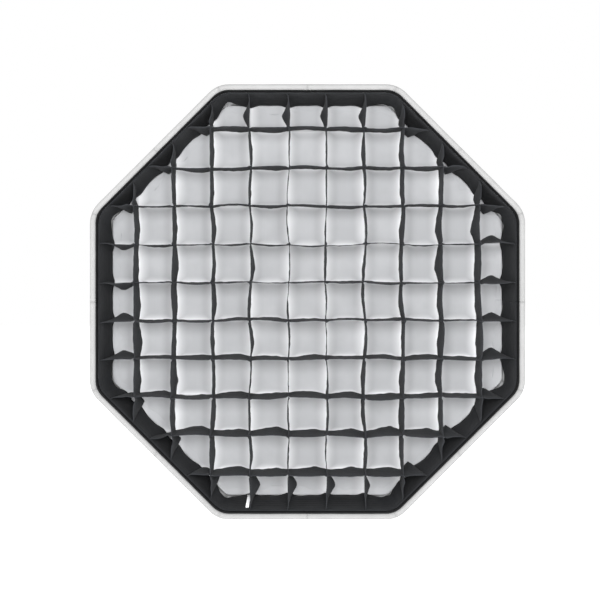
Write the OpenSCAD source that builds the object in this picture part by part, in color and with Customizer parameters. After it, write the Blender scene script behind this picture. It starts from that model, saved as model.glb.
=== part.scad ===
// Folding octabox with a fabric grid: an eight-sided softbox on a cast lamp ring.
// Every module is drawn in the axis frame, where z runs forward from the lamp face,
// x runs to the right and y runs up. world() turns that frame upright at the end.

/* [Face] */
// Width across the flats, piping included
face_w = 600; // [580:10:620]
// Radius of the piping round the rim
piping_r = 4; // [3:0.5:5]
// Radius of the rim's rounded corners
corner_r = 34; // [20:2:44]

/* [Shell] */
// Distance from the lamp face to the middle of the piping
rim_z = 288; // [280:4:300]
// Slope of the shell's side at the rim, from the axis
rim_slope = 12; // [11:0.5:13]
// Thickness of the shell, measured across the axis
shell_t = 2; // [1.5:0.5:2.5]
// Slope of the shell's side where it starts, from the axis
shell_start_slope = 68; // [66:0.5:68]

/* [Ribs] */
// Diameter of a spring-steel rib
rod_d = 5; // [4:0.5:5]
// Distance of a rib's axis inside the shell's corner line
rod_inset = 10; // [10:0.5:11]
// Slope of a rib where its hinge pin crosses it
hinge_slope = 70; // [69.5:0.5:70]
// Distance from the lamp face to the front end of a rib
rod_end_z = 222; // [200:2:222]

/* [Lamp ring] */
// Outer radius of the cast ring
ring_r = 78; // [76:1:78]
// Radius of the opening through the ring
ring_bore_r = 58; // [56:1:60]
// Distance from the lamp face to the ring's front
ring_front_z = 40; // [36:1:40]
// Bore of the lamp mount
mount_bore_r = 44; // [42:0.5:45]
// Outer radius of the lamp mount's neck
neck_r = 49; // [48:0.5:50]
// Outer radius of the three bayonet lugs
lug_r = 54; // [53:0.5:56]

/* [Grid] */
// Number of cells across the face
cells = 11; // [9:2:13]
// Thickness of a grid strip
strip_t = 1.2; // [1:0.2:1.6]
// Distance from the lamp face to the back of the grid
grid_back_z = 238; // [238:1:242]
// Distance from the lamp face to the front of the grid
grid_front_z = 286; // [280:1:286]

/* [Diffusers] */
// Distance from the lamp face to the back of the front diffuser
diffuser_z = 233; // [232.5:0.5:234]
// Distance from the lamp face to the inner baffle
baffle_z = 120; // [110:5:130]
// Distance from the axis to a flat of the inner baffle
baffle_apothem = 170; // [150:5:175]

/* [Hidden] */
$fn = 64;
sides = 8;
half_side = 180 / sides;
gap = 0.25;
slack = 0.02;

// The shell's corner line is one arc in the plane of a rib
rim_apothem = face_w / 2 - piping_r - 2;
rim_corner = rim_apothem / cos(half_side);
line_start_r = 86;
line_start_z = 24;
chord_slope = atan2(rim_corner - line_start_r, rim_z - line_start_z);
chord = norm([rim_corner - line_start_r, rim_z - line_start_z]);
line_r = chord / (2 * sin(chord_slope - rim_slope));
centre_r = rim_corner - line_r * cos(rim_slope);
centre_z = rim_z + line_r * sin(rim_slope);
rod_line_r = line_r - rod_inset;
hinge_r = centre_r + rod_line_r * cos(hinge_slope);
hinge_z = centre_z - rod_line_r * sin(hinge_slope);
rod_end_slope = asin((centre_z - rod_end_z) / rod_line_r);
mm_slope = 180 / (PI * rod_line_r);

pin_r = 2;
barrel_r = 6;
barrel_w = 8.8;
ear_r = 7;
ear_t = 4;
ear_y = 4.7;
socket_r = 4.2;
tip_r = 4;
cap_r = 4.6;
seat_r = 67;
seat_z = 8.3;
seat_back_z = -0.4;
flange_r = 66.6;
flange_t = 8;
neck_l = 12;
knob_z = 4;
knob_screw_r = 2.5;
screw_pcr = 72.5;
screw_r = 1.5;
pitch = 2 * (rim_apothem - 1) / cells;
band_back_apothem = 276.4 / 294 * rim_apothem;
band_front_apothem = 289 / 294 * rim_apothem;
band_t = 0.8;
strip_apothem = band_back_apothem - 1.2;

RIBS = [for (k = [1:sides]) k];

function rib_azimuth(k) = half_side + (k - 1) * 360 / sides;

// Corner points of an octagon whose corners are cut back along both sides
function cut_octagon(apothem, cut) = [
    for (k = [0:sides - 1], s = [-1, 1])
        let (t = s * (apothem * tan(half_side) - cut), a = k * 360 / sides)
            [apothem * cos(a) - t * sin(a), apothem * sin(a) + t * cos(a)]];

// Half the length of a straight chord across the octagon at a distance from the middle
function half_chord(apothem, at) = min(apothem, sqrt(2) * apothem - abs(at));

module world() {
    rotate([90, 0, 0]) children();
}

module at_rib(k) {
    world() rotate([0, 0, rib_azimuth(k)]) children();
}

module each_rib() {
    for (k = RIBS) at_rib(k) children();
}

// A bent bar along the rib's line, between two slopes, with the 2-D section given
module along_rib(from_slope, to_slope) {
    translate([centre_r, 0, centre_z])
        rotate([90, 0, 0])
            rotate([0, 0, -from_slope])
                rotate_extrude(angle = from_slope - to_slope, $fn = 180)
                    translate([rod_line_r, 0])
                        children();
}

// A cylinder across the rib's plane, centred on its hinge
module across_hinge(r, width) {
    translate([hinge_r, 0, hinge_z])
        rotate([90, 0, 0])
            cylinder(r = r, h = width, center = true);
}

// ---- Lamp ring ----

module clevis_ears() {
    for (side = [-1, 1]) {
        translate([0, side * (ear_y + ear_t / 2), 0]) {
            across_hinge(ear_r, ear_t);
            translate([ring_r - 2, -ear_t / 2, hinge_z - ear_r])
                cube([hinge_r - ring_r + 2, ear_t, 2 * ear_r]);
        }
    }
}

module speed_ring() {
    color("dimgray")
        difference() {
            union() {
                world()
                    rotate_extrude($fn = 180)
                        polygon([[seat_r, seat_back_z], [ring_r, seat_back_z],
                                 [ring_r, ring_front_z], [ring_bore_r, ring_front_z],
                                 [ring_bore_r, seat_z], [seat_r, seat_z]]);
                each_rib() clevis_ears();
            }
            each_rib() {
                across_hinge(pin_r + slack, 2 * (ear_y + ear_t) + 2);
                translate([screw_pcr, 0, -3]) cylinder(r = screw_r + slack, h = 11, $fn = 32);
            }
            world()
                for (side = [-1, 1])
                    translate([side * 60, 0, knob_z])
                        rotate([0, side * 90, 0])
                            cylinder(r = knob_screw_r + slack, h = 24, $fn = 32);
        }
}

module ring_retainer() {
    color("black")
        difference() {
            world()
                translate([0, 0, -2])
                    difference() {
                        cylinder(r = ring_r, h = 1.5, $fn = 180);
                        translate([0, 0, -1]) cylinder(r = 62, h = 4, $fn = 180);
                    }
            each_rib()
                translate([screw_pcr, 0, -3]) cylinder(r = screw_r + slack, h = 4, $fn = 32);
        }
}

module retainer_screws() {
    color("silver")
        each_rib()
            translate([screw_pcr, 0, 0]) {
                translate([0, 0, -2]) cylinder(r = screw_r, h = 9, $fn = 32);
                difference() {
                    translate([0, 0, -3.4]) cylinder(r = 2.8, h = 1.4, $fn = 32);
                    translate([0, 0, -4]) cylinder(r = 1.2, h = 1.4, $fn = 6);
                }
            }
}

module hinge_pins() {
    color("silver")
        each_rib() {
            across_hinge(pin_r, 2 * (ear_y + ear_t) + 1);
            for (side = [-1, 1])
                translate([0, side * (ear_y + ear_t + 0.7), 0]) across_hinge(3, 1.2);
        }
}

module stop_pads() {
    color("black")
        each_rib()
            translate([ring_r, -4, hinge_z - 10.2]) cube([7, 8, 3.6]);
}

module rear_collar() {
    inner_z = 14;
    outer_r = 118;
    outer_z = 33;
    cloth_t = 1.2;
    color("black")
        world()
            rotate_extrude($fn = 180)
                polygon([[ring_r, inner_z], [outer_r, outer_z],
                         [outer_r, outer_z + cloth_t], [ring_r, inner_z + cloth_t]]);
}

// ---- Lamp mount ----

module bayonet_lug() {
    intersection() {
        difference() {
            cylinder(r = lug_r, h = 4, $fn = 128);
            translate([0, 0, -1]) cylinder(r = neck_r - 1, h = 6, $fn = 128);
        }
        rotate([0, 0, -15]) cube([60, 60, 20]);
        rotate([0, 0, -75]) cube([60, 60, 20]);
    }
}

module mount_insert() {
    color("silver")
        world()
            difference() {
                union() {
                    cylinder(r = flange_r, h = flange_t, $fn = 180);
                    translate([0, 0, -neck_l]) cylinder(r = neck_r, h = neck_l, $fn = 180);
                    for (k = [0:2])
                        rotate([0, 0, 90 + 120 * k])
                            translate([0, 0, 1 - neck_l]) bayonet_lug();
                }
                translate([0, 0, -neck_l - 1])
                    cylinder(r = mount_bore_r, h = neck_l + flange_t + 2, $fn = 180);
            }
}

// ---- Clamp knobs, drawn pointing along +x ----

module knob_head() {
    head_r = 7.5;
    head_l = 14;
    color("black")
        difference() {
            translate([82, 0, knob_z])
                rotate([0, 90, 0])
                    difference() {
                        cylinder(r = head_r, h = head_l);
                        for (k = [0:7])
                            rotate([0, 0, 45 * k])
                                translate([head_r + 1, 0, 2]) cylinder(r = 2, h = head_l, $fn = 24);
                    }
            translate([80, 0, knob_z]) rotate([0, 90, 0]) cylinder(r = knob_screw_r, h = 10, $fn = 32);
        }
}

module knob_screw() {
    color("silver")
        translate([flange_r + 0.4, 0, knob_z])
            rotate([0, 90, 0])
                cylinder(r = knob_screw_r, h = 90 - flange_r - 0.4, $fn = 32);
}

module facing_side(side) {
    world() rotate([0, 0, side == "left" ? 180 : 0]) children();
}

// ---- Ribs ----

module rib_root() {
    color("dimgray")
        difference() {
            union() {
                across_hinge(barrel_r, barrel_w);
                along_rib(hinge_slope - 3 * mm_slope, hinge_slope - 28 * mm_slope)
                    circle(r = socket_r, $fn = 48);
            }
            across_hinge(pin_r + 0.06, barrel_w + 2);
            along_rib(hinge_slope - 7.5 * mm_slope, hinge_slope - 29 * mm_slope)
                circle(r = rod_d / 2 + slack, $fn = 48);
        }
}

module rib_rod() {
    color("silver")
        along_rib(hinge_slope - 8 * mm_slope, rod_end_slope)
            circle(d = rod_d, $fn = 48);
}

module rib_tip() {
    color("black")
        difference() {
            union() {
                along_rib(rod_end_slope + 14 * mm_slope, rod_end_slope - 9 * mm_slope)
                    circle(r = tip_r, $fn = 48);
                along_rib(rod_end_slope - 3 * mm_slope, rod_end_slope - 7 * mm_slope)
                    circle(r = cap_r, $fn = 48);
            }
            along_rib(rod_end_slope + 15 * mm_slope, rod_end_slope)
                circle(r = rod_d / 2 + slack, $fn = 48);
        }
}

// ---- Shell: two half panels meet at each rib, and share its plane ----

profile_steps = 9;
bead_steps = 7;
corner_steps = 3;

function corner_line_r(slope) = centre_r + line_r * cos(slope);
function corner_line_z(slope) = centre_z - line_r * sin(slope);
function round_at(z) = 5 + (corner_r - 5) * z / rim_z;

// The closed section of shell and piping: [distance from axis to flat, z]
shell_stop_slope = asin((centre_z - rim_z + piping_r - 0.6) / line_r);
outer_line = [
    for (i = [0:profile_steps])
        let (slope = shell_start_slope + (shell_stop_slope - shell_start_slope) * i / profile_steps)
            [corner_line_r(slope) * cos(half_side), corner_line_z(slope)]];
bead = [
    for (i = [0:bead_steps])
        let (a = -35 + 250 * i / bead_steps)
            [rim_apothem + 2 + piping_r * cos(a), rim_z + piping_r * sin(a)]];
inner_line = [
    for (i = [profile_steps:-1:0])
        [outer_line[i][0] - shell_t, outer_line[i][1]]];
shell_section = concat(outer_line, bead, inner_line);

// Where a section point lies when the section stands at one place round the rim.
// Places 0 to corner_steps run round the corner, and the last is the flat's middle.
function shell_point(p, place) =
    let (
        fit = corner_line_r(asin((centre_z - min(p[1], rim_z)) / line_r)),
        round = round_at(p[1]),
        corner_x = fit - round / cos(half_side),
        r = p[0] - corner_x * cos(half_side),
        turn = half_side * place / corner_steps)
    place > corner_steps
        ? [p[0] * cos(half_side) + gap * sin(half_side),
           p[0] * sin(half_side) - gap * cos(half_side), p[1]]
        : [corner_x + r * cos(turn), max(gap, r * sin(turn)), p[1]];

// Faces across one end of a half panel: a strip up the cloth, then a fan over the bead
function end_faces(n) = concat(
    [for (i = [0:profile_steps - 1]) [i, i + 1, n - 2 - i, n - 1 - i]],
    [for (i = [profile_steps + 1:profile_steps + bead_steps + 1]) [profile_steps, i, i + 1]]);

module half_panel(k, side) {
    n = len(shell_section);
    places = corner_steps + 1;
    points = [for (place = [0:places], p = shell_section) shell_point(p, place)];
    color("black")
        at_rib(k)
            mirror([0, side == "b" ? 1 : 0, 0])
                polyhedron(points = points, faces = concat(
                    end_faces(n),
                    [for (face = end_faces(n))
                        [for (p = [len(face) - 1:-1:0]) places * n + face[p]]],
                    [for (place = [0:places - 1], i = [0:n - 1])
                        let (j = (i + 1) % n, a = place * n, b = a + n)
                            i <= profile_steps + bead_steps
                                ? [a + j, a + i, b + i, b + j]
                                : [a + i, b + i, b + j, a + j]]));
}

// ---- Inner baffle and front diffuser ----

module octagon_sheet(apothem, cut, z, t) {
    translate([0, 0, z]) linear_extrude(t) polygon(cut_octagon(apothem, cut));
}

module inner_baffle() {
    color("white") world() octagon_sheet(baffle_apothem, 4, baffle_z, 1.2);
}

module baffle_straps() {
    strap_w = 12;
    strap_t = 1;
    start_r = baffle_apothem / cos(half_side) - 1.3;
    rod_r = centre_r + rod_line_r * cos(asin((centre_z - baffle_z) / rod_line_r));
    color("black")
        each_rib()
            translate([start_r, -strap_w / 2, baffle_z + 0.1])
                cube([rod_r - rod_d / 2 - 1 - start_r, strap_w, strap_t]);
}

module front_diffuser() {
    color("white") world() octagon_sheet(strip_apothem - 5, 8, diffuser_z, 1.2);
}

module diffuser_border() {
    color("white")
        world()
            difference() {
                octagon_sheet(strip_apothem - 0.5, 8, diffuser_z + 1.4, 2);
                octagon_sheet(strip_apothem - 14, 6, diffuser_z, 5);
            }
}

// ---- Grid ----

strip_at = [for (k = [0:cells - 2]) (k - (cells - 2) / 2) * pitch];
grid_depth = grid_front_z - grid_back_z;
lap = grid_depth / 2;

module grid_strips(width, z, depth) {
    for (x = strip_at) {
        reach = half_chord(strip_apothem, x);
        translate([x - width / 2, -reach, z]) cube([width, 2 * reach, depth]);
    }
}

// The strips of the two directions are slotted over each other, half and half
module slotted_strips(slot_z) {
    difference() {
        grid_strips(strip_t, grid_back_z, grid_depth);
        rotate([0, 0, 90]) grid_strips(strip_t + 0.6, slot_z, lap + 1);
    }
}

module grid_verticals() {
    color("dimgray") world() slotted_strips(grid_back_z - 1);
}

module grid_horizontals() {
    color("dimgray") world() rotate([0, 0, 90]) slotted_strips(grid_back_z + lap);
}

module band_frustum(inset, over) {
    back = band_back_apothem - inset;
    grow = (band_front_apothem - inset) / back;
    step = (grow - 1) / grid_depth * over;
    translate([0, 0, grid_back_z - over])
        linear_extrude(grid_depth + 2 * over, scale = (grow + step) / (1 - step))
            scale(1 - step)
                polygon(cut_octagon(back, 14));
}

module grid_band() {
    color("black")
        world()
            difference() {
                band_frustum(0, 0);
                band_frustum(band_t, 1);
            }
}

module pull_tab() {
    tab_x = -86;
    tab_w = 5;
    tab_t = 1.4;
    slope = atan2(band_front_apothem - band_back_apothem, grid_depth);
    color("white")
        world()
            translate([tab_x, 0.9 + tab_t - band_back_apothem, grid_back_z + 3])
                rotate([slope, 0, 0])
                    translate([0, -0.2, 0])
                        cube([tab_w, tab_t, 38]);
}

speed_ring();
ring_retainer();
retainer_screws();
hinge_pins();
stop_pads();
rear_collar();
mount_insert();
for (side = ["left", "right"]) {
    facing_side(side) knob_head();
    facing_side(side) knob_screw();
}
for (k = RIBS) {
    at_rib(k) rib_root();
    at_rib(k) rib_rod();
    at_rib(k) rib_tip();
    for (half = ["a", "b"])
        half_panel(k, half);
}
inner_baffle();
baffle_straps();
front_diffuser();
diffuser_border();
grid_verticals();
grid_horizontals();
grid_band();
pull_tab();
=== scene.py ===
"""Looks of the folding octabox: fabric shell, piping, diffusers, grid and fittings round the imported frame.

Shapes are worked out in the octabox's own axis frame (x right, y up, z forward from the lamp face) and
turned into the CAD frame (x right, y back, z up) by world(). Lengths are in metres, angles in radians.
"""
import math
import random

import bpy
import bmesh
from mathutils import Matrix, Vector, noise

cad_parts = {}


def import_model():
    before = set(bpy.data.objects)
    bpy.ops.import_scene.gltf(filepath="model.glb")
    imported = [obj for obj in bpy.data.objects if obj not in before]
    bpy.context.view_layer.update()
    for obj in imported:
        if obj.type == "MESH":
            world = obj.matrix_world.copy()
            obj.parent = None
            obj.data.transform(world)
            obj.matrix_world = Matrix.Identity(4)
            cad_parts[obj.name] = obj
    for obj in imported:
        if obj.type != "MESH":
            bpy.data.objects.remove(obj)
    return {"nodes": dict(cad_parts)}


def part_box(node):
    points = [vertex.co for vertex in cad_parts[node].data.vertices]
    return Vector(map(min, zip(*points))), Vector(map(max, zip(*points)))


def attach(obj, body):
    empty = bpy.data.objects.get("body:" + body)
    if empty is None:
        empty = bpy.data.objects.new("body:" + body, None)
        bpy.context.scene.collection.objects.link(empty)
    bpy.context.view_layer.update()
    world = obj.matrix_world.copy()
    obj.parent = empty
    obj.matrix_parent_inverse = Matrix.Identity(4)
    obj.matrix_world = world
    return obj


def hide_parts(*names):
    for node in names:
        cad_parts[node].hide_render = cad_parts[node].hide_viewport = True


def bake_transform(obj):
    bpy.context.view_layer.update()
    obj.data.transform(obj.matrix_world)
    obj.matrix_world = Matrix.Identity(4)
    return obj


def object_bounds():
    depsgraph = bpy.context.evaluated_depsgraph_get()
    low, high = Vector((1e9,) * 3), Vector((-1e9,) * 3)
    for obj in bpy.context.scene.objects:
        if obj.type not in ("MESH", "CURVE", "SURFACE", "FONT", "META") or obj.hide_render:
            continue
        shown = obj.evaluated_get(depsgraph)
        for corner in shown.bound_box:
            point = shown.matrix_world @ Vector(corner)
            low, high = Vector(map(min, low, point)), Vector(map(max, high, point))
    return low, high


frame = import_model()
cad_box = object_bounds()

# ---------------------------------------------------------------- driving sizes

SIDES = 8
HALF_SIDE = math.pi / SIDES
LOW, HIGH = cad_box
FACE_W = HIGH[0] - LOW[0]
PIPING_R = 0.004
PIPING_OUT = 0.002
RIM_APOTHEM = FACE_W / 2 - PIPING_R - PIPING_OUT
RIM_Z = -LOW[1] - PIPING_R
RIM_SLOPE = math.radians(12)
START_SLOPE = math.radians(68)
LINE_START = (0.086, 0.024)
CORNER_R = 0.034
BACK_CORNER_R = 0.005
SHELL_SAG = 0.005
SHELL_T = 0.0009
THIN_CLOTH_T = 0.0008           # collar, tip pockets and the grid's band
BINDING_HALF_W = 0.0075
POCKET_SHARE = 0.09565          # half a tip pocket's width, as a share of half a side
POCKET_DEPTH = 0.0145
COLLAR_EDGE_R = 0.0786
COLLAR_GATHERS = 64

DIFFUSER_FRONT = -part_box("front_diffuser")[0][1]
DIFFUSER_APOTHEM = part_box("diffuser_border")[1][0]
GRID_BACK = -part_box("grid_verticals")[1][1]
GRID_FRONT = -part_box("grid_verticals")[0][1]
STRIP_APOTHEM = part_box("grid_verticals")[1][2]
BAND_FRONT_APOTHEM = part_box("grid_band")[1][0]
BAND_BACK_APOTHEM = STRIP_APOTHEM + 0.0034
BAND_CORNER_R = 0.030
CLOTH_APOTHEM = DIFFUSER_APOTHEM + 0.0028
BORDER_W = 0.013
BORDER_CORNER_R = 0.012
CELLS = 11
PITCH = 2 * (RIM_APOTHEM - 0.001) / CELLS
TAPE_T = 0.0009                 # the grid's strips, the border, the straps and the tab
BAFFLE_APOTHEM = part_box("inner_baffle")[1][0]
BAFFLE_Z = -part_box("inner_baffle")[1][1]
STRAP_HALF_W = 0.006
TAB_W = 0.0044

# Where the eye looks straight at the face: the grid's back edges sag towards it
VIEW_X, VIEW_Z = -0.0076, 0.0604
CAMERA_AWAY = 1.47
FLOOR_HALF_W, FLOOR_DROP = 14.0, 0.95

# Distances from the rib's plane where a half panel would stop following its rib and where its crease body
# would take over; pleat() works these points out but bends nothing
PLEAT_START = 0.033
PLEAT_END = 0.092

# The shell's corner line is one arc in each rib's plane
rim_corner = RIM_APOTHEM / math.cos(HALF_SIDE)
chord_slope = math.atan2(rim_corner - LINE_START[0], RIM_Z - LINE_START[1])
chord = math.hypot(rim_corner - LINE_START[0], RIM_Z - LINE_START[1])
LINE_R = chord / (2 * math.sin(chord_slope - RIM_SLOPE))
CENTRE_R = rim_corner - LINE_R * math.cos(RIM_SLOPE)
CENTRE_Z = RIM_Z + LINE_R * math.sin(RIM_SLOPE)


def world(x, y, z):
    """A point of the axis frame in the CAD frame."""
    return Vector((x, -z, y))


def mix(a, b, t):
    """The value a share t of the way from a to b."""
    return a + (b - a) * t


def smooth(t):
    """A share from 0 to 1, eased at both ends."""
    t = max(0.0, min(1.0, t))
    return t * t * (3 - 2 * t)


def wobble(p, scale, seed=0.0):
    """Smooth noise from about -1 to 1 at a point, with features of the given size."""
    return noise.noise(Vector((p[0] / scale + seed, p[1] / scale - seed, p[2] / scale + 2 * seed)))


# ---------------------------------------------------------------- materials

# Noise scales, in features per metre, and depths of relief, in metres
BLOTCHES, CREASES, WEAR, STAINS = 38.0, 22.0, 45.0, 16.0
THREAD_RELIEF, CREASE_RELIEF, STREAK_RELIEF, GRAIN_RELIEF = 0.0003, 0.004, 0.0006, 0.0002
THREADS_TO_SCALE = 6.3          # a wave texture of scale 1 / (6.3 t) draws threads of width t


def new_material(name):
    """An empty node material: itself, its tree, its shader and the object's own coordinates."""
    material = bpy.data.materials.new(name)
    material.use_nodes = True
    tree = material.node_tree
    tree.nodes.clear()
    output = tree.nodes.new("ShaderNodeOutputMaterial")
    shader = tree.nodes.new("ShaderNodeBsdfPrincipled")
    tree.links.new(shader.outputs[0], output.inputs[0])
    place = tree.nodes.new("ShaderNodeTexCoord")
    return material, tree, shader, place.outputs["Object"]


def add_node(tree, kind, inputs=None, **settings):
    """Adds a node with its settings. Each input is given a value, or the socket that feeds it."""
    made = tree.nodes.new(kind)
    for key, value in settings.items():
        setattr(made, key, value)
    for key, value in (inputs or {}).items():
        if isinstance(value, bpy.types.NodeSocket):
            tree.links.new(value, made.inputs[key])
        else:
            made.inputs[key].default_value = value
    return made


def join(tree, operation, first, second, **settings):
    """One step of arithmetic between two sockets or numbers."""
    step = add_node(tree, "ShaderNodeMath", {0: first, 1: second}, operation=operation, **settings)
    return step.outputs[0]


def colour_mix(tree, factor, dark, light):
    """The colour between dark and light that a socket from 0 to 1 chooses."""
    ramp = add_node(tree, "ShaderNodeMix", data_type="RGBA")
    tree.links.new(factor, ramp.inputs["Factor"])
    ramp.inputs["A"].default_value = (*dark, 1)
    ramp.inputs["B"].default_value = (*light, 1)
    return ramp.outputs["Result"]


def fabric(name, dark, light, thread=0.0009, weave_depth=0.4, crease=0.0, roughness=0.85, sheen=0.03):
    """Woven cloth: crossed threads, blotches of colour between dark and light, and soft creases."""
    material, tree, shader, place = new_material(name)
    blotch = add_node(tree, "ShaderNodeTexNoise",
                      {"Vector": place, "Scale": BLOTCHES, "Detail": 5.0, "Roughness": 0.6})
    tree.links.new(colour_mix(tree, blotch.outputs[0], dark, light), shader.inputs["Base Color"])
    scale = 1 / thread / THREADS_TO_SCALE
    waves = [
        add_node(tree, "ShaderNodeTexWave", {"Vector": place, "Scale": scale, "Distortion": 0.6},
                 bands_direction=direction, wave_profile="SIN")
        for direction in ("X", "Y", "Z")]
    weave = join(tree, "MULTIPLY", waves[0].outputs[1], waves[1].outputs[1])
    weave = join(tree, "ADD", weave, waves[2].outputs[1])
    bump = add_node(tree, "ShaderNodeBump",
                    {"Height": weave, "Strength": weave_depth, "Distance": THREAD_RELIEF})
    if crease:
        folds = add_node(tree, "ShaderNodeTexNoise",
                         {"Vector": place, "Scale": CREASES, "Detail": 3.0, "Distortion": 0.8})
        bump = add_node(tree, "ShaderNodeBump",
                        {"Height": folds.outputs[0], "Strength": crease, "Distance": CREASE_RELIEF,
                         "Normal": bump.outputs[0]})
    tree.links.new(bump.outputs[0], shader.inputs["Normal"])
    rough = add_node(tree, "ShaderNodeMapRange",
                     {"Value": blotch.outputs[0], "To Min": roughness - 0.07, "To Max": roughness + 0.07})
    tree.links.new(rough.outputs[0], shader.inputs["Roughness"])
    shader.inputs["Sheen Weight"].default_value = sheen
    shader.inputs["Sheen Roughness"].default_value = 0.5
    shader.inputs["Specular IOR Level"].default_value = 0.15
    return material


def halo_painted_diffusion_fabric(name, centre, edge):
    """White diffusion cloth with a painted highlight: a bright halo painted into its colour along the lines
    where the grid's strips lie over it, over random stains.
    """
    material, tree, shader, place = new_material(name)
    split = add_node(tree, "ShaderNodeSeparateXYZ", {0: place})
    halo_by_axis = []
    # Painted highlight beside the strip lines: wide and full beside the upright strips (x), narrower and
    # weaker beside the level ones (z).
    for axis, reach, most in (("X", 0.30, 1.0), ("Z", 0.16, 0.55)):
        cell = join(tree, "DIVIDE", join(tree, "ADD", split.outputs[axis], PITCH / 2), PITCH)
        away = join(tree, "SUBTRACT", join(tree, "FRACT", cell, 0.0), 0.5)
        away = join(tree, "ABSOLUTE", away, 0.0)
        near = add_node(tree, "ShaderNodeMapRange",
                        {"Value": away, "From Min": 0.5 - reach, "From Max": 0.5})
        halo_by_axis.append(join(tree, "MULTIPLY", join(tree, "POWER", near.outputs[0], 2.0), most))
    # The painted halo: the stronger of the two axes' painted highlights.
    line = join(tree, "MAXIMUM", halo_by_axis[0], halo_by_axis[1])
    stains = add_node(tree, "ShaderNodeTexNoise",
                      {"Vector": place, "Scale": STAINS, "Detail": 4.0, "Roughness": 0.55})
    uneven = add_node(tree, "ShaderNodeMapRange",
                      {"Value": stains.outputs[0], "To Min": -0.16, "To Max": 0.20})
    # Painted halo plus random stains, from the cells' grey towards near white.
    halo_and_stains = join(tree, "ADD", line, uneven.outputs[0], use_clamp=True)
    tree.links.new(colour_mix(tree, halo_and_stains, centre, edge), shader.inputs["Base Color"])
    streak_map = add_node(tree, "ShaderNodeMapping", {"Vector": place, "Scale": (260.0, 1.0, 14.0)})
    streaks = add_node(tree, "ShaderNodeTexNoise",
                       {"Vector": streak_map.outputs[0], "Scale": 1.0, "Detail": 3.0})
    weave = add_node(tree, "ShaderNodeBump",
                     {"Height": streaks.outputs[0], "Strength": 0.25, "Distance": STREAK_RELIEF})
    tree.links.new(weave.outputs[0], shader.inputs["Normal"])
    shader.inputs["Roughness"].default_value = 0.9
    shader.inputs["Sheen Weight"].default_value = 0.15
    shader.inputs["Specular IOR Level"].default_value = 0.2
    return material


def hard(name, dark, light, metallic=0.0, rough=(0.4, 0.55), grain=900.0, depth=0.15):
    """Metal, plastic or rubber with a fine grain, and wear that varies its colour and roughness."""
    material, tree, shader, place = new_material(name)
    fine = add_node(tree, "ShaderNodeTexNoise", {"Vector": place, "Scale": grain, "Detail": 4.0})
    wear = add_node(tree, "ShaderNodeTexNoise",
                    {"Vector": place, "Scale": WEAR, "Detail": 6.0, "Roughness": 0.65})
    tree.links.new(colour_mix(tree, wear.outputs[0], dark, light), shader.inputs["Base Color"])
    rough_map = add_node(tree, "ShaderNodeMapRange",
                         {"Value": wear.outputs[0], "To Min": rough[0], "To Max": rough[1]})
    tree.links.new(rough_map.outputs[0], shader.inputs["Roughness"])
    bump = add_node(tree, "ShaderNodeBump",
                    {"Height": fine.outputs[0], "Strength": depth, "Distance": GRAIN_RELIEF})
    tree.links.new(bump.outputs[0], shader.inputs["Normal"])
    shader.inputs["Metallic"].default_value = metallic
    return material


def grey(value, blue=0.0):
    """A grey, cooled by a little blue."""
    return value, value + blue / 3, value + blue


nylon = fabric("black_nylon", grey(0.010), grey(0.023, 0.002), crease=0.35, roughness=0.62)
lining = hard("silver_lining", grey(0.48), grey(0.68), metallic=0.7, rough=(0.35, 0.5), grain=700)
binding = fabric("black_binding", grey(0.012), grey(0.028), thread=0.0013, weave_depth=0.6)
piping_cloth = fabric("white_piping", grey(0.24), grey(0.32), thread=0.0008)
grid_cloth = fabric("grid_cloth", grey(0.012, 0.003), grey(0.029, 0.005), thread=0.0007, weave_depth=0.5)
band_cloth = fabric("band_cloth", grey(0.006, 0.002), grey(0.020, 0.003), thread=0.0007, weave_depth=0.6)
# The first colour is the cells' grey; the second, near white, is the painted highlight beside the strips.
diffusion = halo_painted_diffusion_fabric("diffusion_cloth", grey(0.40, 0.02), grey(0.95, 0.03))
plain_diffusion = fabric("baffle_cloth", grey(0.70, 0.02), grey(0.82, 0.02), thread=0.0006, weave_depth=0.2)
trim = fabric("white_trim", grey(0.70, 0.02), grey(0.86, 0.02), thread=0.001)
webbing = fabric("black_webbing", grey(0.014), grey(0.035), thread=0.0016, weave_depth=0.8)
zinc = hard("zinc_steel", grey(0.50), grey(0.66), metallic=1.0, rough=(0.28, 0.42))
steel = hard("bright_steel", grey(0.58), grey(0.72), metallic=1.0, rough=(0.22, 0.36), grain=1500)
spring = hard("spring_steel", grey(0.34), grey(0.48), metallic=1.0, rough=(0.30, 0.45), grain=1200)
cast = hard("cast_black", grey(0.018), grey(0.036), rough=(0.42, 0.6), grain=1100, depth=0.5)
moulded = hard("rib_joint", grey(0.022), grey(0.042), rough=(0.45, 0.6), depth=0.3)
knob_plastic = hard("black_plastic", grey(0.014), grey(0.029), rough=(0.35, 0.5), grain=600)
rubber = hard("black_rubber", grey(0.012), grey(0.026), rough=(0.7, 0.85), grain=500, depth=0.4)

CARRIED = {
    "mount_insert": zinc, "speed_ring": cast, "ring_retainer": cast, "retainer_screws": steel,
    "hinge_pins": steel, "stop_pads": rubber, "knob_left": knob_plastic, "knob_right": knob_plastic,
    "knob_left_screw": steel, "knob_right_screw": steel}
for k in range(1, SIDES + 1):
    CARRIED[f"rib_root_{k}"] = moulded
    CARRIED[f"rib_rod_{k}"] = spring
    CARRIED[f"rib_tip_{k}"] = rubber


def dress_cad_nodes():
    """Gives each carried-over CAD node its finish."""
    for name, material in CARRIED.items():
        for one in frame["nodes"][name].material_slots:
            one.material = material


# ---------------------------------------------------------------- mesh helpers

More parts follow.
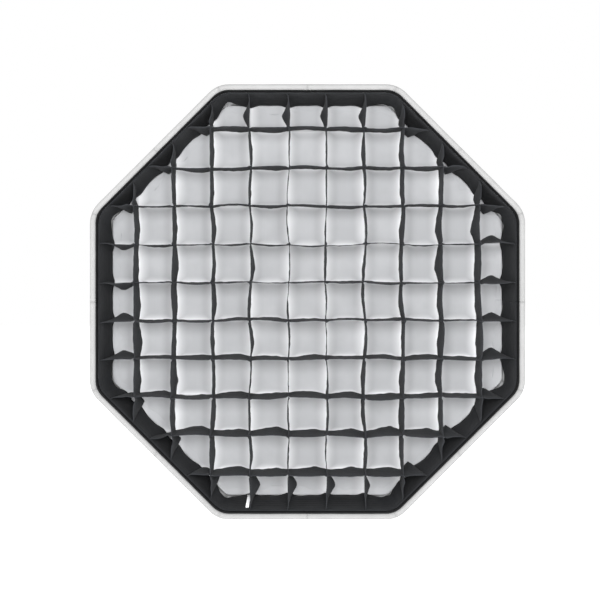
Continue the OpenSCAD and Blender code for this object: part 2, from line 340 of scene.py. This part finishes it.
def make_piece(name, points, faces, materials, face_materials=None):
    """A smooth-shaded object from points and faces, with its normals turned outwards."""
    mesh = bpy.data.meshes.new(name)
    mesh.from_pydata([tuple(p) for p in points], [], faces)
    for one in materials:
        mesh.materials.append(one)
    if face_materials:
        mesh.polygons.foreach_set("material_index", face_materials)
    mesh.polygons.foreach_set("use_smooth", [True] * len(mesh.polygons))
    mesh.update()
    piece = bpy.data.objects.new(name, mesh)
    bpy.context.scene.collection.objects.link(piece)
    tidy = bmesh.new()
    tidy.from_mesh(mesh)
    bmesh.ops.recalc_face_normals(tidy, faces=tidy.faces)
    tidy.to_mesh(mesh)
    tidy.free()
    return piece


def closed_sheet(rows, thickness):
    """Points and faces of a closed thin sheet. rows[i][j] is (point, outward normal), and the sheet is
    laid inwards from it. Returns points, faces and how many of the first faces are the outer side's."""
    count_i, count_j = len(rows), len(rows[0])
    outer = [p for row in rows for p, _ in row]
    inner = [p - n * thickness for row in rows for p, n in row]
    shift = count_i * count_j

    def at(i, j):
        return i * count_j + j

    top = [(at(i, j), at(i + 1, j), at(i + 1, j + 1), at(i, j + 1))
           for i in range(count_i - 1) for j in range(count_j - 1)]
    under = [tuple(shift + a for a in reversed(face)) for face in top]
    edge = ([at(i, 0) for i in range(count_i)] + [at(count_i - 1, j) for j in range(1, count_j)]
            + [at(i, count_j - 1) for i in range(count_i - 2, -1, -1)]
            + [at(0, j) for j in range(count_j - 2, 0, -1)])
    sides = [(a, shift + a, shift + b, b) for a, b in zip(edge, edge[1:] + edge[:1])]
    return outer + inner, top + under + sides, len(top)


def thicken(piece, thickness, back_slot=0):
    """Gives a sheet its thickness. back_slot is how many material slots further on the back's finish is."""
    solid = piece.modifiers.new("thickness", "SOLIDIFY")
    solid.thickness = thickness
    solid.offset = 0.0
    solid.material_offset = back_slot


# ---------------------------------------------------------------- shell

def corner_line(slope):
    """The radius and the depth of the shell's corner line where it has this slope."""
    return CENTRE_R + LINE_R * math.cos(slope), CENTRE_Z - LINE_R * math.sin(slope)


def slope_at(z):
    """The slope of the corner line at a depth."""
    return math.asin((CENTRE_Z - z) / LINE_R)


def round_at(z):
    """The rounding of the cross-section's corners at a depth."""
    return mix(BACK_CORNER_R, CORNER_R, z / RIM_Z)


def side_line(apothem, rounding, q):
    """A point of the cross-section from the rib's plane (q 0) to the middle of the side (q 1),
    with its outward normal in the plane, for a rib at azimuth 0."""
    turned = rounding * HALF_SIDE
    straight = (apothem - rounding) * math.tan(HALF_SIDE)
    along = q * (turned + straight)
    if along < turned:
        a = along / rounding
        centre = (apothem - rounding) / math.cos(HALF_SIDE)
        return (centre + rounding * math.cos(a), rounding * math.sin(a)), (math.cos(a), math.sin(a))
    left = turned + straight - along
    c, s = math.cos(HALF_SIDE), math.sin(HALF_SIDE)
    return (apothem * c + left * s, apothem * s - left * c), (c, s)


def rib_azimuth(k):
    """The direction of rib k, as an angle from the x axis."""
    return HALF_SIDE + (k - 1) * 2 * HALF_SIDE


def around(k, side, x, y, z):
    """A point given for a rib at azimuth 0, moved to rib k. side is 1, or -1 for the mirrored half."""
    a = rib_azimuth(k)
    y *= side
    return world(x * math.cos(a) - y * math.sin(a), x * math.sin(a) + y * math.cos(a), z)


def shell_point(k, side, slope, q, lift=0.0):
    """A point on the shell's cloth and its outward normal, in the CAD frame."""
    r, z = corner_line(slope)
    (x, y), (nx, ny) = side_line(r * math.cos(HALF_SIDE), round_at(min(z, RIM_Z)), q)
    depth = (START_SLOPE - slope) / (START_SLOPE - RIM_SLOPE)
    slack = math.sin(math.pi * min(1, max(0, depth / 0.86))) ** 0.8
    sag = SHELL_SAG * slack * math.sin(math.pi / 2 * q) ** 2
    normal = (around(k, side, nx * math.cos(slope), ny * math.cos(slope), -math.sin(slope))
              - around(k, side, 0, 0, 0)).normalized()
    point = around(k, side, x, y, z)
    ripple = 0.0011 * wobble(point, 0.045) + 0.0006 * wobble(point, 0.014, 3.0)
    return point + normal * (lift - sag + ripple * smooth(depth * 5) * smooth((1 - depth) * 7)), normal


def pleat(piece, k, side):
    """Works out where a shell piece would bend between its rib and its crease body, then bakes its placement
    into its mesh without bending it.
    """
    start = around(k, side, 0, PLEAT_START, 0)
    end = around(k, side, 0, PLEAT_END, 0)
    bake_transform(piece)


def make_shell_half(k, half, side):
    """Half a panel of the shell, black outside and silver inside, black again at its lip and back seam."""
    rows_n, across_n = 34, 18
    stop_slope = slope_at(RIM_Z - 0.002)
    rows = [
        [shell_point(k, side, mix(START_SLOPE, stop_slope, i / rows_n), j / across_n)
         for j in range(across_n + 1)]
        for i in range(rows_n + 1)]
    points, faces, outer_n = closed_sheet(rows, SHELL_T)
    lined = [1 if i < rows_n - 1 and (i > rows_n * 0.55 or j < across_n - 2) else 0
             for i in range(rows_n) for j in range(across_n)]
    sides = [0] * outer_n + lined + [0] * (len(faces) - 2 * outer_n)
    piece = make_piece(f"shell_cloth_{k}{half}", points, faces, [nylon, lining], sides)
    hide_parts(f"shell_{k}{half}")
    pleat(piece, k, side)


def make_piping_half(k, half, side):
    """White bias tape folded round a cord, with its stitched flange, along half of two rim sides."""
    steps, ring = 26, 14
    points, faces = [], []
    for i in range(steps + 1):
        (x, y), (nx, ny) = side_line(RIM_APOTHEM + PIPING_OUT, CORNER_R + 0.001, i / steps)
        where = around(k, side, x, y, RIM_Z)
        swell = 1 + 0.05 * wobble(where, 0.02, 5.0)
        for j in range(ring):
            a = 2 * math.pi * j / ring
            groove = 1 - 0.12 * max(0.0, math.cos(a - 1.9)) ** 12
            reach = PIPING_R * swell * groove * (0.97 if math.sin(a) > 0 else 0.93)
            out, up = reach * math.cos(a), reach * math.sin(a)
            points.append(around(k, side, x + nx * out, y + ny * out, RIM_Z + up))
    for i in range(steps):
        for j in range(ring):
            n = (j + 1) % ring
            faces.append((i * ring + j, i * ring + n, (i + 1) * ring + n, (i + 1) * ring + j))
    faces.append(tuple(range(ring)))
    faces.append(tuple(steps * ring + j for j in reversed(range(ring))))
    piece = make_piece(f"piping_{k}{half}", points, faces, [piping_cloth])
    pleat(piece, k, side)


def make_rib_binding(k):
    """Webbing sewn over the seam along each rib, raised along its middle and falling at its edges."""
    rows_n, across_n = 40, 8
    rows = []
    for i in range(rows_n + 1):
        slope = mix(START_SLOPE - 0.01, slope_at(RIM_Z - 0.004), i / rows_n)
        r, z = corner_line(slope)
        apothem = r * math.cos(HALF_SIDE)
        rounding = round_at(z)
        whole = rounding * HALF_SIDE + (apothem - rounding) * math.tan(HALF_SIDE)
        row = []
        for j in range(across_n + 1):
            place = 2 * j / across_n - 1
            edge_fall = 0.0011 * (1 - abs(place) ** 6)
            side = 1 if place >= 0 else -1
            row.append(shell_point(k, side, slope, abs(place) * BINDING_HALF_W / whole, edge_fall + 0.0004))
        rows.append(row)
    points, faces, _ = closed_sheet(rows, 0.0007)
    piece = make_piece(f"rib_binding_{k}", points, faces, [binding])
    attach(piece, f"rib_{k}")


def make_tip_pocket(k):
    """Folded webbing pocket inside the shell that the rib's rubber tip sits in."""
    tip_low, tip_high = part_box("rib_tip_1")
    rows_n, half_n = 10, 8
    rows = []
    for i in range(rows_n + 1):
        slope = mix(slope_at(-tip_high[1]), slope_at(-tip_low[1] - 0.0070), i / rows_n)
        row = []
        for j in range(-half_n, half_n + 1):
            share = abs(j) / half_n
            inset = 0.001 + (POCKET_DEPTH * math.cos(share * math.pi / 2) ** 0.7 if share < 1 else 0)
            row.append(shell_point(k, 1 if j >= 0 else -1, slope, share * POCKET_SHARE, -inset))
        rows.append(row)
    points, faces, _ = closed_sheet(rows, THIN_CLOTH_T)
    piece = make_piece(f"tip_pocket_{k}", points, faces, [webbing])
    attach(piece, f"rib_{k}")


def make_collar():
    """Cloth collar from the ring to over the shell's back edge, gathered by an elastic hem."""
    low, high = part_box("rear_collar")
    outer_r = high[0] - 0.001
    back_z, front_z = -high[1] + 0.0006, -low[1] - 0.0012
    around_n, across_n = 288, 14
    rows = []
    for j in range(across_n + 1):
        t = j / across_n
        row = []
        for i in range(around_n + 1):
            a = 2 * math.pi * i / around_n
            uneven = smooth((t - 0.35) / 0.65) * (1 - 0.3 * math.sin(5 * a))
            gather = 0.0010 * math.sin(COLLAR_GATHERS * a) * uneven
            hem = 0.0009 * math.exp(-((t - 0.93) / 0.05) ** 2)
            r = mix(COLLAR_EDGE_R, outer_r, t)
            z = mix(back_z, front_z, t) - gather - hem
            row.append((world(r * math.cos(a), r * math.sin(a), z), Vector((0, 1, 0))))
        rows.append(row)
    points, faces, _ = closed_sheet(rows, THIN_CLOTH_T)
    piece = make_piece("collar_cloth", points, faces, [nylon])
    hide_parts("rear_collar")
    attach(piece, "ring")


# ---------------------------------------------------------------- diffusers

def octagon_cloth(name, apothem, step, height_at, cut=0.0):
    """A flat octagonal cloth facing forward; height_at(x, y) is each point's place along z."""
    sheet = bmesh.new()
    cells = int(2 * apothem / step)
    bmesh.ops.create_grid(sheet, x_segments=cells, y_segments=cells, size=apothem)
    for k in range(SIDES):
        a = 2 * HALF_SIDE * k
        normal = Vector((math.cos(a), math.sin(a), 0))
        bmesh.ops.bisect_plane(sheet, geom=sheet.verts[:] + sheet.edges[:] + sheet.faces[:],
                               plane_co=normal * apothem * 0.99999, plane_no=normal, clear_outer=True)
        if cut:
            corner = a + HALF_SIDE
            normal = Vector((math.cos(corner), math.sin(corner), 0))
            bmesh.ops.bisect_plane(sheet, geom=sheet.verts[:] + sheet.edges[:] + sheet.faces[:],
                                   plane_co=normal * (apothem / math.cos(HALF_SIDE) - cut), plane_no=normal,
                                   clear_outer=True)
    for vertex in sheet.verts:
        x, y = vertex.co.x, vertex.co.y
        vertex.co = world(x, y, height_at(x, y))
    for face in sheet.faces:
        face.smooth = True
    mesh = bpy.data.meshes.new(name)
    sheet.to_mesh(mesh)
    sheet.free()
    piece = bpy.data.objects.new(name, mesh)
    bpy.context.scene.collection.objects.link(piece)
    return piece


def flat_distance(x, y):
    """How far out a point is, as the apothem of the octagon through it."""
    diagonal = (abs(x) + abs(y)) / math.sqrt(2)
    return max(abs(x), abs(y), diagonal)


def make_diffuser():
    """The front diffusion cloth, pillowed by the strips that lie on it and rucked at its edge."""
    apothem = CLOTH_APOTHEM - 0.001

    def height(x, y):
        u = abs(((x + PITCH / 2) / PITCH) % 1 - 0.5) * 2
        v = abs(((y + PITCH / 2) / PITCH) % 1 - 0.5) * 2
        pillow = -0.0016 * (1 - max(u, v) ** 2.5)
        edge = smooth((flat_distance(x, y) - apothem + 0.055) / 0.05)
        p = (x, y, 0)
        ruck = 0.0008 * wobble(p, 0.03, 1.0) + edge * 0.0022 * wobble(p, 0.016, 7.0)
        return min(DIFFUSER_FRONT + 0.0012 + pillow + ruck, GRID_BACK - 0.0008)

    piece = octagon_cloth("diffuser_cloth", apothem, 0.0045, height, cut=0.004)
    # Its front carries the painted highlight along the strip lines; its back is the plain cloth.
    piece.data.materials.append(diffusion)
    piece.data.materials.append(plain_diffusion)
    thicken(piece, 0.0004, back_slot=1)
    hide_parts("front_diffuser")
    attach(piece, "diffuser")


def rim_walk(per_side):
    """Steps once round the octagon: the nearest rib, the side of its plane and the share of half a side."""
    for k in range(1, SIDES + 1):
        for step in range(-per_side, per_side):
            yield k, -1 if step < 0 else 1, abs(step) / per_side


def make_border():
    """White tape sewn round the diffuser, with its inner edge sinking into the cloth."""
    across_n = 6
    rows = []
    for k, side, q in rim_walk(60):
        inner = CLOTH_APOTHEM - BORDER_W + 0.0010 * wobble((k * 3.1, side * q * 9, 0), 1.0, 2.0)
        row = []
        for t in range(across_n + 1):
            share = t / across_n
            (x, y), _ = side_line(mix(CLOTH_APOTHEM, inner, share), BORDER_CORNER_R, q)
            lift = 0.0004 * math.sin(math.pi * share) - 0.0030 * share + 0.0003 * wobble((x, y, k), 0.012)
            row.append((around(k, side, x, y, DIFFUSER_FRONT + 0.0018 + lift), Vector((0, -1, 0))))
        rows.append(row)
    rows.append(rows[0])
    points, faces, front_n = closed_sheet(rows, TAPE_T)
    sides = [0] * front_n + [1] * (len(faces) - front_n)
    # The tape's front carries the same painted highlight along the strip lines; its edges and back are the
    # plain cloth.
    piece = make_piece("border_tape", points, faces, [diffusion, plain_diffusion], sides)
    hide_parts("diffuser_border")
    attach(piece, "diffuser")


def make_baffle():
    """The inner baffle, drawn tight by its straps and crowned a little at its middle."""
    def height(x, y):
        reach = flat_distance(x, y) / BAFFLE_APOTHEM
        pull = 0.004 * (1 - reach ** 2)
        return BAFFLE_Z + 0.0006 + pull + 0.0012 * wobble((x, y, 0), 0.04, 4.0)

    piece = octagon_cloth("baffle_cloth", BAFFLE_APOTHEM, 0.008, height, cut=0.0015)
    piece.data.materials.append(plain_diffusion)
    thicken(piece, 0.0006)
    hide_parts("inner_baffle")
    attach(piece, "baffle")


def make_straps():
    """Eight elastic straps from the baffle's corners to the ribs, narrowed where they stretch."""
    low_r = BAFFLE_APOTHEM / math.cos(HALF_SIDE) - 0.014
    high_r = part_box("baffle_straps")[1][0] / math.cos(HALF_SIDE) - 0.003
    rows_n, across_n = 14, 4
    points, faces = [], []
    for k in range(1, SIDES + 1):
        rows = []
        for i in range(rows_n + 1):
            t = i / rows_n
            half_w = STRAP_HALF_W - 0.0018 * math.sin(math.pi * t)
            row = []
            for j in range(across_n + 1):
                y = (j / across_n * 2 - 1) * half_w
                z = BAFFLE_Z + 0.0012 + 0.0004 * math.sin(2 * math.pi * t + k)
                row.append((around(k, 1, mix(low_r, high_r, t), y, z), Vector((0, -1, 0))))
            rows.append(row)
        own, own_faces, _ = closed_sheet(rows, TAPE_T)
        faces += [tuple(len(points) + a for a in face) for face in own_faces]
        points += own
    piece = make_piece("strap_webbing", points, faces, [webbing])
    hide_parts("baffle_straps")
    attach(piece, "baffle")


# ---------------------------------------------------------------- grid

STRIP_AT = [(k - (CELLS - 2) / 2) * PITCH for k in range(CELLS - 1)]
STRETCH_STEP = 0.0035           # distance between a strip's rows of points


def half_chord(apothem, at):
    """How far a strip at this distance from the middle reaches inside an octagon."""
    return min(apothem, math.sqrt(2) * apothem - abs(at))


def strip_knots(at):
    """Where a strip meets the band and the strips that cross it, from one end to the other."""
    reach = half_chord(STRIP_APOTHEM, at)
    inside = [c for c in STRIP_AT if abs(c) < reach - 0.006]
    return [-reach] + inside + [reach]


def end_lean(upright, at, low_end):
    """How far the back edge of a strip's end stretch leans to the right or up."""
    slanting = abs(at) > PITCH * 2
    if upright and slanting:
        return (0.014 if at < 0 else 0.001) if low_end else -0.008
    if upright:
        return 0.011 if low_end else -0.010
    if slanting and at > 0:
        return -0.015
    if slanting:
        return 0.001 if low_end else 0.019
    if low_end:
        return -0.010 if at > 0 else 0.010
    return 0.011


def strip_samples(knots):
    """Rows of points along a strip: the stretch that each is in, and its share of the way along it."""
    samples = []
    for n in range(len(knots) - 1):
        steps = max(3, int((knots[n + 1] - knots[n]) / STRETCH_STEP))
        samples += [(n, s / steps) for s in range(steps)]
    return samples + [(len(knots) - 2, 1.0)]


def make_strips(name, upright, node, draw):
    """Ten limp strips on edge. Each hangs between crossings, so its front and back edges wander apart."""
    depth_n = 6
    points, faces = [], []
    for at in STRIP_AT:
        knots = strip_knots(at)
        wander = [draw.uniform(-0.0016, 0.0016) for _ in knots]
        jitter_front = [a + draw.uniform(-0.0005, 0.0005) for a in wander]
        jitter_back = [a + draw.uniform(-0.0009, 0.0009) for a in wander]
        bends = [draw.uniform(-0.0020, 0.0020) for _ in knots]
        bows = [(a + draw.uniform(-0.0006, 0.0006), a + draw.uniform(-0.0016, 0.0016)) for a in bends]
        lift = [draw.uniform(-0.0012, 0.0006) for _ in knots]
        inwards = (VIEW_X if upright else VIEW_Z) - at
        bulges = [0.022 * inwards * draw.uniform(0.2, 1.0) for _ in knots]
        peak = 0.35 if upright else 0.7
        samples = strip_samples(knots)
        first = len(points)
        for n, t in samples:
            length = knots[n + 1] - knots[n]
            s = mix(knots[n], knots[n + 1], t)
            ease = smooth(t)
            front = mix(jitter_front[n], jitter_front[n + 1], ease) + bows[n][0] * math.sin(math.pi * t)
            back = mix(jitter_back[n], jitter_back[n + 1], ease) + bows[n][1] * math.sin(math.pi * t)
            low_end, high_end = n == 0, n == len(knots) - 2
            if low_end or high_end:
                away = t if low_end else 1 - t
                leaf = min(1.0, 1.08 * min(away / 0.42, (1 - away) / 0.58))
                back += end_lean(upright, at, low_end) * leaf * min(1.0, length / 0.03)
            else:
                back += bulges[n] * min(t / peak, (1 - t) / (1 - peak)) ** 1.3
            front += 0.0005 * wobble((s, at, 1), 0.008, 2.0)
            back += 0.0008 * wobble((s, at, 5), 0.007, 4.0)
            near = min(t, 1 - t) * length
            tick = 0.0016 * math.exp(-(near / 0.0022) ** 2) * (1 if (n + len(knots)) % 2 else -1)
            for j in range(depth_n + 1):
                v = j / depth_n
                across = at + mix(back, front, smooth(v)) + tick * v ** 3
                top = GRID_FRONT - 0.0006 + mix(lift[n], lift[n + 1], ease) * 0.6
                z = mix(GRID_BACK + 0.0008, top, v)
                wall = mix(BAND_BACK_APOTHEM, BAND_FRONT_APOTHEM, v) - 0.0015
                spread = half_chord(wall, at) + knots[0]
                along = s + math.copysign(spread, s) * smooth((abs(s) / -knots[0] - 0.86) / 0.14)
                points.append(world(across, along, z) if upright else world(along, across, z))
        wide = depth_n + 1
        for i in range(len(samples) - 1):
            for j in range(depth_n):
                a = first + i * wide + j
                faces.append((a, a + wide, a + wide + 1, a + 1))
    piece = make_piece(name, points, faces, [grid_cloth])
    thicken(piece, TAPE_T)
    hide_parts(node)
    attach(piece, "grid")


def band_place(q, v):
    """A point of the band and its outward normal, at a share q round half a side and v from its back
    edge to its front."""
    return side_line(mix(BAND_BACK_APOTHEM, BAND_FRONT_APOTHEM, v) - 0.0004, BAND_CORNER_R, q)


def band_pull(point):
    """How strongly the strips' ends tug the band's back edge inwards at a point."""
    tug = 0.0
    for c in STRIP_AT:
        if abs(point[1]) > abs(point[0]) * 0.42:
            tug = max(tug, math.exp(-((point[0] - c) / 0.008) ** 2))
        if abs(point[0]) > abs(point[1]) * 0.42:
            tug = max(tug, math.exp(-((point[1] - c) / 0.008) ** 2))
    return tug


def make_band():
    """The grid's slanting band, tugged in by the strips and loose at the corners."""
    deep_n = 8
    rows = []
    for k, side, q in rim_walk(46):
        slack = smooth(1 - q / 0.22)
        row = []
        for j in range(deep_n + 1):
            v = j / deep_n
            (x, y), (nx, ny) = band_place(q, v)
            place = around(k, side, x, y, 0)
            plane = (place[0], place[2], 0)
            loose = (1 - v) ** 1.6
            ragged = wobble(plane, 0.02, 9.0)
            inward = loose * (0.0035 * band_pull(plane) + (0.0016 + 0.0026 * slack) * ragged)
            torn = wobble(plane, 0.010, 12.0)
            z = mix(GRID_BACK, GRID_FRONT, v) + loose * slack * (0.017 + 0.012 * torn)
            z += loose * 0.002 * (0.5 + 0.5 * wobble(plane, 0.014, 6.0))
            bow = 0.0010 * math.sin(math.pi * v)
            x -= nx * (inward - bow)
            y -= ny * (inward - bow)
            row.append((around(k, side, x, y, z), around(k, side, nx, ny, 0).normalized()))
        rows.append(row)
    rows.append(rows[0])
    points, faces, _ = closed_sheet(rows, THIN_CLOTH_T)
    piece = make_piece("band_cloth", points, faces, [band_cloth])
    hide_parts("grid_band")
    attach(piece, "grid")


def make_pull_tab():
    """A loop of white tape, sewn to the band at both ends and standing open."""
    low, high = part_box("pull_tab")
    x = (low[0] + high[0]) / 2
    rows_n, across_n = 30, 4
    rows = []
    for i in range(rows_n + 1):
        t = i / rows_n
        z = mix(-low[1], -high[1] + 0.003, t)
        share = (z - GRID_BACK) / (GRID_FRONT - GRID_BACK)
        band = mix(BAND_BACK_APOTHEM, BAND_FRONT_APOTHEM, share)
        y = 0.0022 - band + (0.0075 * math.sin(math.pi * t) ** 0.7 if 0 < t < 1 else 0)
        row = []
        for j in range(across_n + 1):
            share = j / across_n - 0.5
            across = x + share * TAB_W + 0.0018 * math.sin(3 * t)
            row.append((world(across, y + 0.0006 * math.cos(40 * share), z), Vector((0, 0, 1))))
        rows.append(row)
    points, faces, _ = closed_sheet(rows, TAPE_T)
    piece = make_piece("tab_loop", points, faces, [trim])
    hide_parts("pull_tab")
    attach(piece, "grid")


# ---------------------------------------------------------------- stage, light and camera

def make_stage():
    """A pale floor, low enough that none of its edges shows."""
    corners = [(x * FLOOR_HALF_W, y * FLOOR_HALF_W, -FLOOR_DROP)
               for x, y in ((-1, -1), (1, -1), (1, 1), (-1, 1))]
    floor = make_piece("floor", corners, [(0, 1, 2, 3)], [])
    material, tree, shader, place = new_material("pale_floor")
    mottle = add_node(tree, "ShaderNodeTexNoise", {"Vector": place, "Scale": 3.0})
    tree.links.new(colour_mix(tree, mottle.outputs[0], grey(0.97), grey(1.0)), shader.inputs["Base Color"])
    shader.inputs["Roughness"].default_value = 0.9
    shader.inputs["Specular IOR Level"].default_value = 0.0
    shader.inputs["Emission Color"].default_value = (1, 1, 1, 1)
    shader.inputs["Emission Strength"].default_value = 0.35
    floor.data.materials.append(material)


def area_light(name, place, target, size, power):
    """A soft rectangular light aimed at the target."""
    light = bpy.data.lights.new(name, "AREA")
    light.shape = "RECTANGLE"
    light.size = size[0]
    light.size_y = size[1]
    light.energy = power
    lamp = bpy.data.objects.new(name, light)
    lamp.location = place
    lamp.rotation_euler = (Vector(target) - Vector(place)).to_track_quat("-Z", "Y").to_euler()
    bpy.context.scene.collection.objects.link(lamp)


def make_lights():
    """White surroundings, a large soft light in front and a weaker one on each side."""
    sky = bpy.data.worlds.new("studio")
    sky.use_nodes = True
    sky.node_tree.nodes["Background"].inputs[0].default_value = (1, 1, 1, 1)
    sky.node_tree.nodes["Background"].inputs[1].default_value = 1.0
    bpy.context.scene.world = sky
    middle = (0, -RIM_Z, 0)
    area_light("front_fill", (0.0, -2.2, 0.30), middle, (1.3, 1.1), 48)
    area_light("left_fill", (-1.7, -1.3, 0.3), middle, (0.9, 1.2), 12)
    area_light("right_fill", (1.7, -1.3, 0.2), middle, (0.9, 1.2), 9)


def make_camera():
    """Square on to the face, a little above and left of its centre, framed by a small shift."""
    lens_data = bpy.data.cameras.new("camera")
    lens_data.sensor_width = 36.0
    lens_data.lens = 64.0
    lens_data.shift_x = -0.0033
    lens_data.shift_y = -0.070
    camera = bpy.data.objects.new("camera", lens_data)
    camera.location = (VIEW_X, -RIM_Z - CAMERA_AWAY, VIEW_Z)
    camera.rotation_euler = (math.pi / 2, 0, 0)
    bpy.context.scene.collection.objects.link(camera)
    bpy.context.scene.camera = camera
    bpy.context.scene.view_settings.view_transform = "Standard"


make_camera()
make_lights()
make_stage()
dress_cad_nodes()
for k in range(1, SIDES + 1):
    make_rib_binding(k)
    make_tip_pocket(k)
    for half, side in (("a", 1), ("b", -1)):
        make_piping_half(k, half, side)
        make_shell_half(k, half, side)
make_collar()
make_border()
make_diffuser()
make_straps()
make_baffle()
strip_draw = random.Random(11)
make_strips("upright_strips", True, "grid_verticals", strip_draw)
make_strips("level_strips", False, "grid_horizontals", strip_draw)
make_pull_tab()
make_band()
